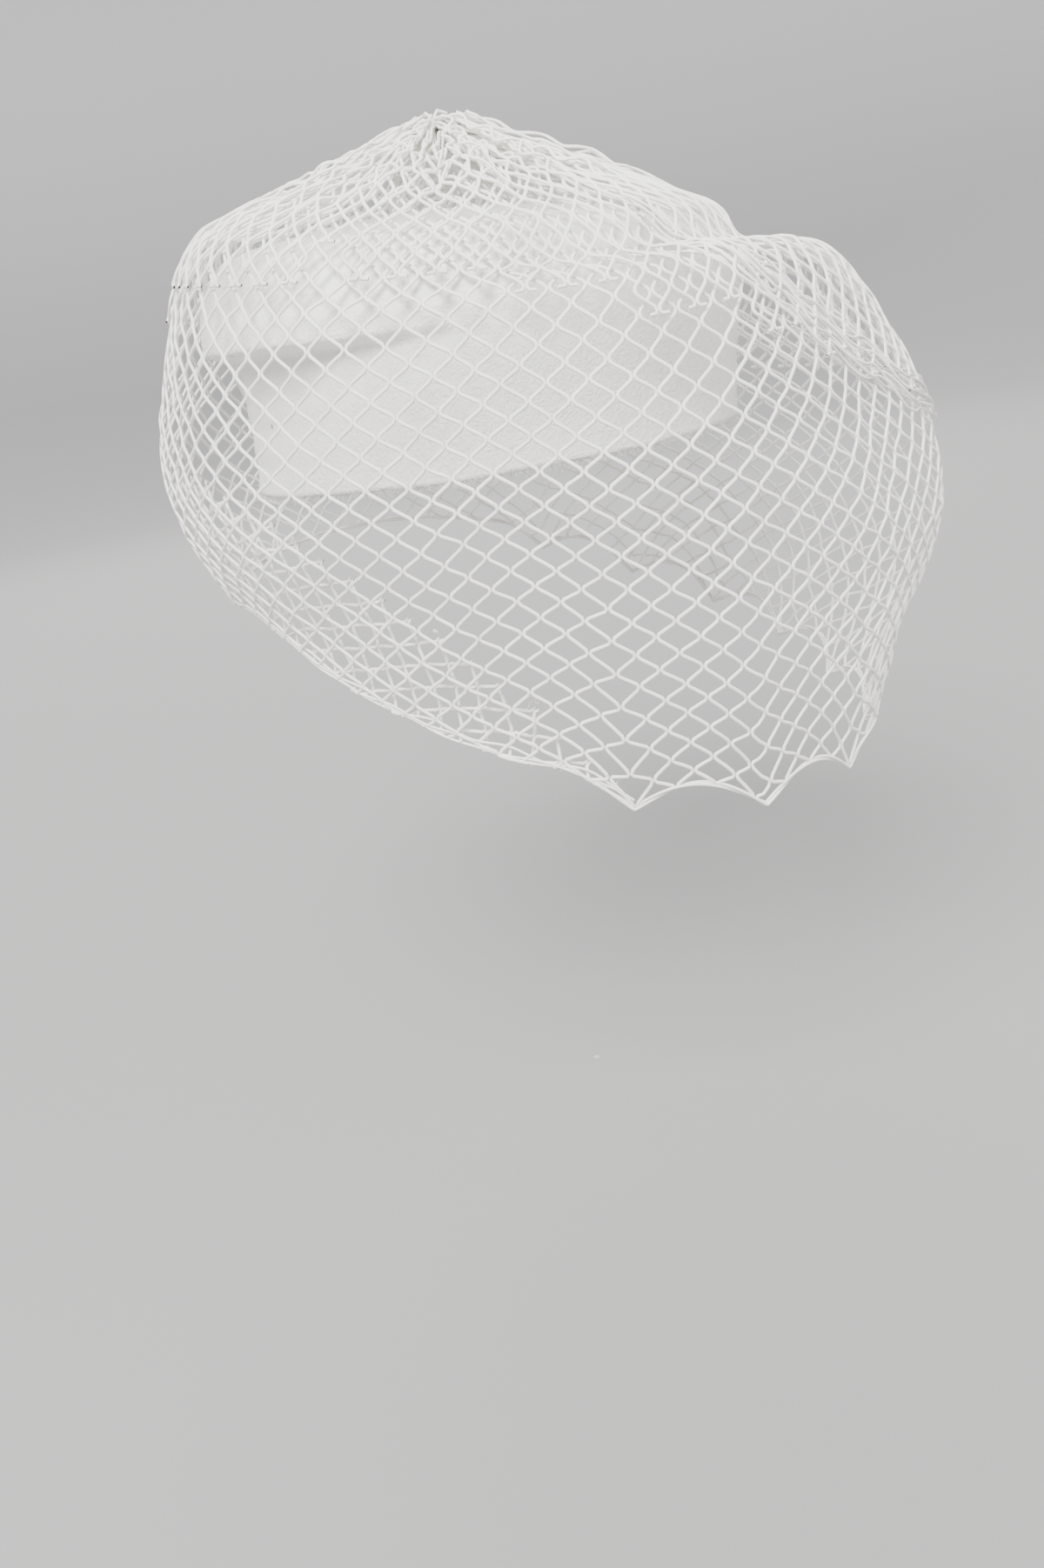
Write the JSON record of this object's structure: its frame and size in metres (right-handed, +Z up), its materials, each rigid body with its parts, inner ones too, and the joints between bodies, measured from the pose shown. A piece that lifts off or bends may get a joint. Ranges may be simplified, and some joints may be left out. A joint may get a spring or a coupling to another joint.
{
  "type": "pillbox hat with net veil",
  "caption": "Blocked felt pillbox hat with a side tuck, under a wide-mesh net veil gathered on top, puffed at the sides and turned up along its hem.",
  "frame": {"origin": "centre of the crown's rim, where the hat sits on the head", "axes": "+Z up out of the crown's top, -Y out of the front of the hat, +X to the wearer's left"},
  "size_m": [0.2227, 0.2162, 0.1912],
  "materials": {
    "felt": "matt ivory wool felt with a short nap",
    "net": "stiffened ivory net of fused strands"
  },
  "bodies": {
    "root": {"crown": "felt", "veil": "net"}
  },
  "joints": []
}
